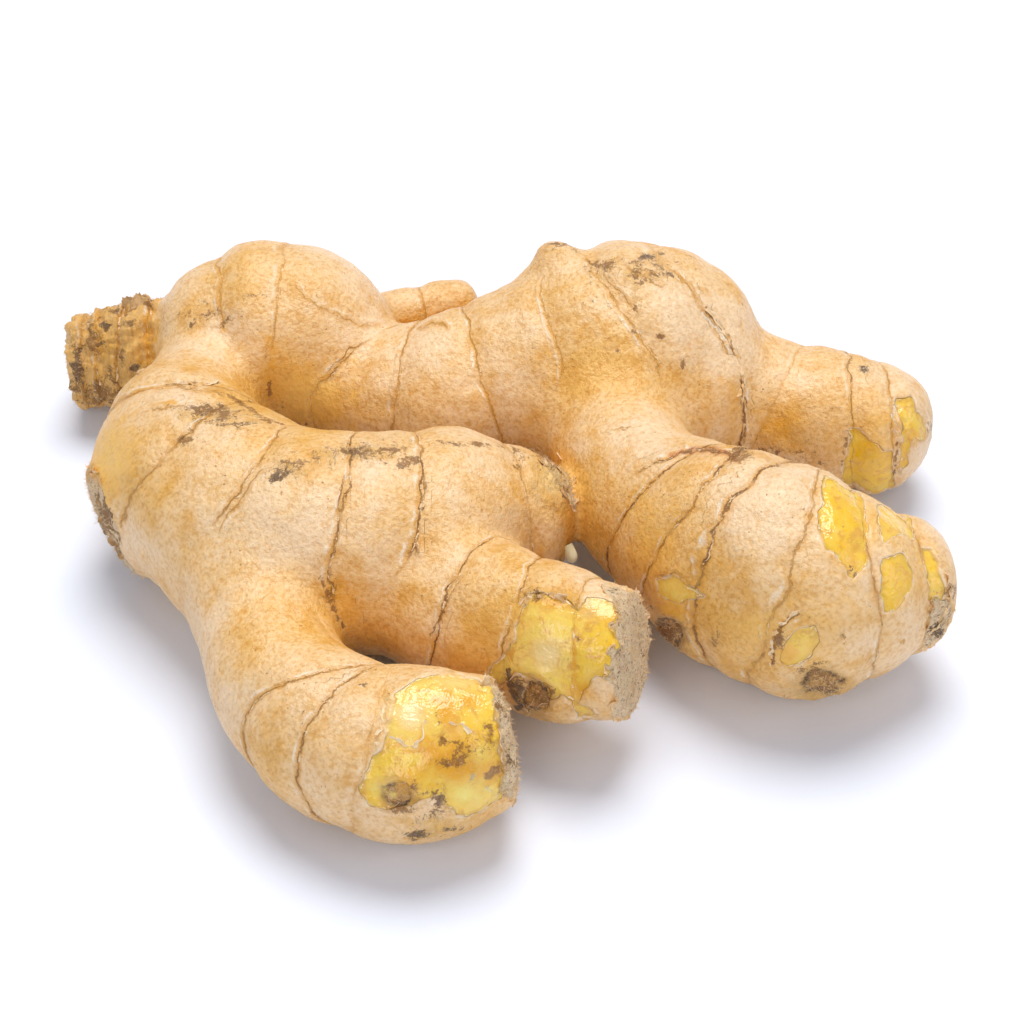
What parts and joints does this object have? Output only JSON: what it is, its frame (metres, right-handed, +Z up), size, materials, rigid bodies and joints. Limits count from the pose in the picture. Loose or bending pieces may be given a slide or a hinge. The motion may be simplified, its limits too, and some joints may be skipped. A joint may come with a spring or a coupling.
{
  "type": "ginger root",
  "caption": "Whole fresh ginger rhizome lying flat, with thick ringed lobes and stubby fingers branching to both ends.",
  "frame": {"origin": "under the middle of the root's box, on the surface that it lies on", "axes": "+X along the root's length towards its two right-hand fingers, +Y towards the main rhizome at the back, +Z up"},
  "size_m": [0.1856, 0.1586, 0.0494],
  "materials": {
    "ginger_skin": "thin tan skin with orange-brown growth rings and a few pale yellow bare patches"
  },
  "bodies": {
    "root": {"ginger_root": "ginger_skin"}
  },
  "joints": []
}
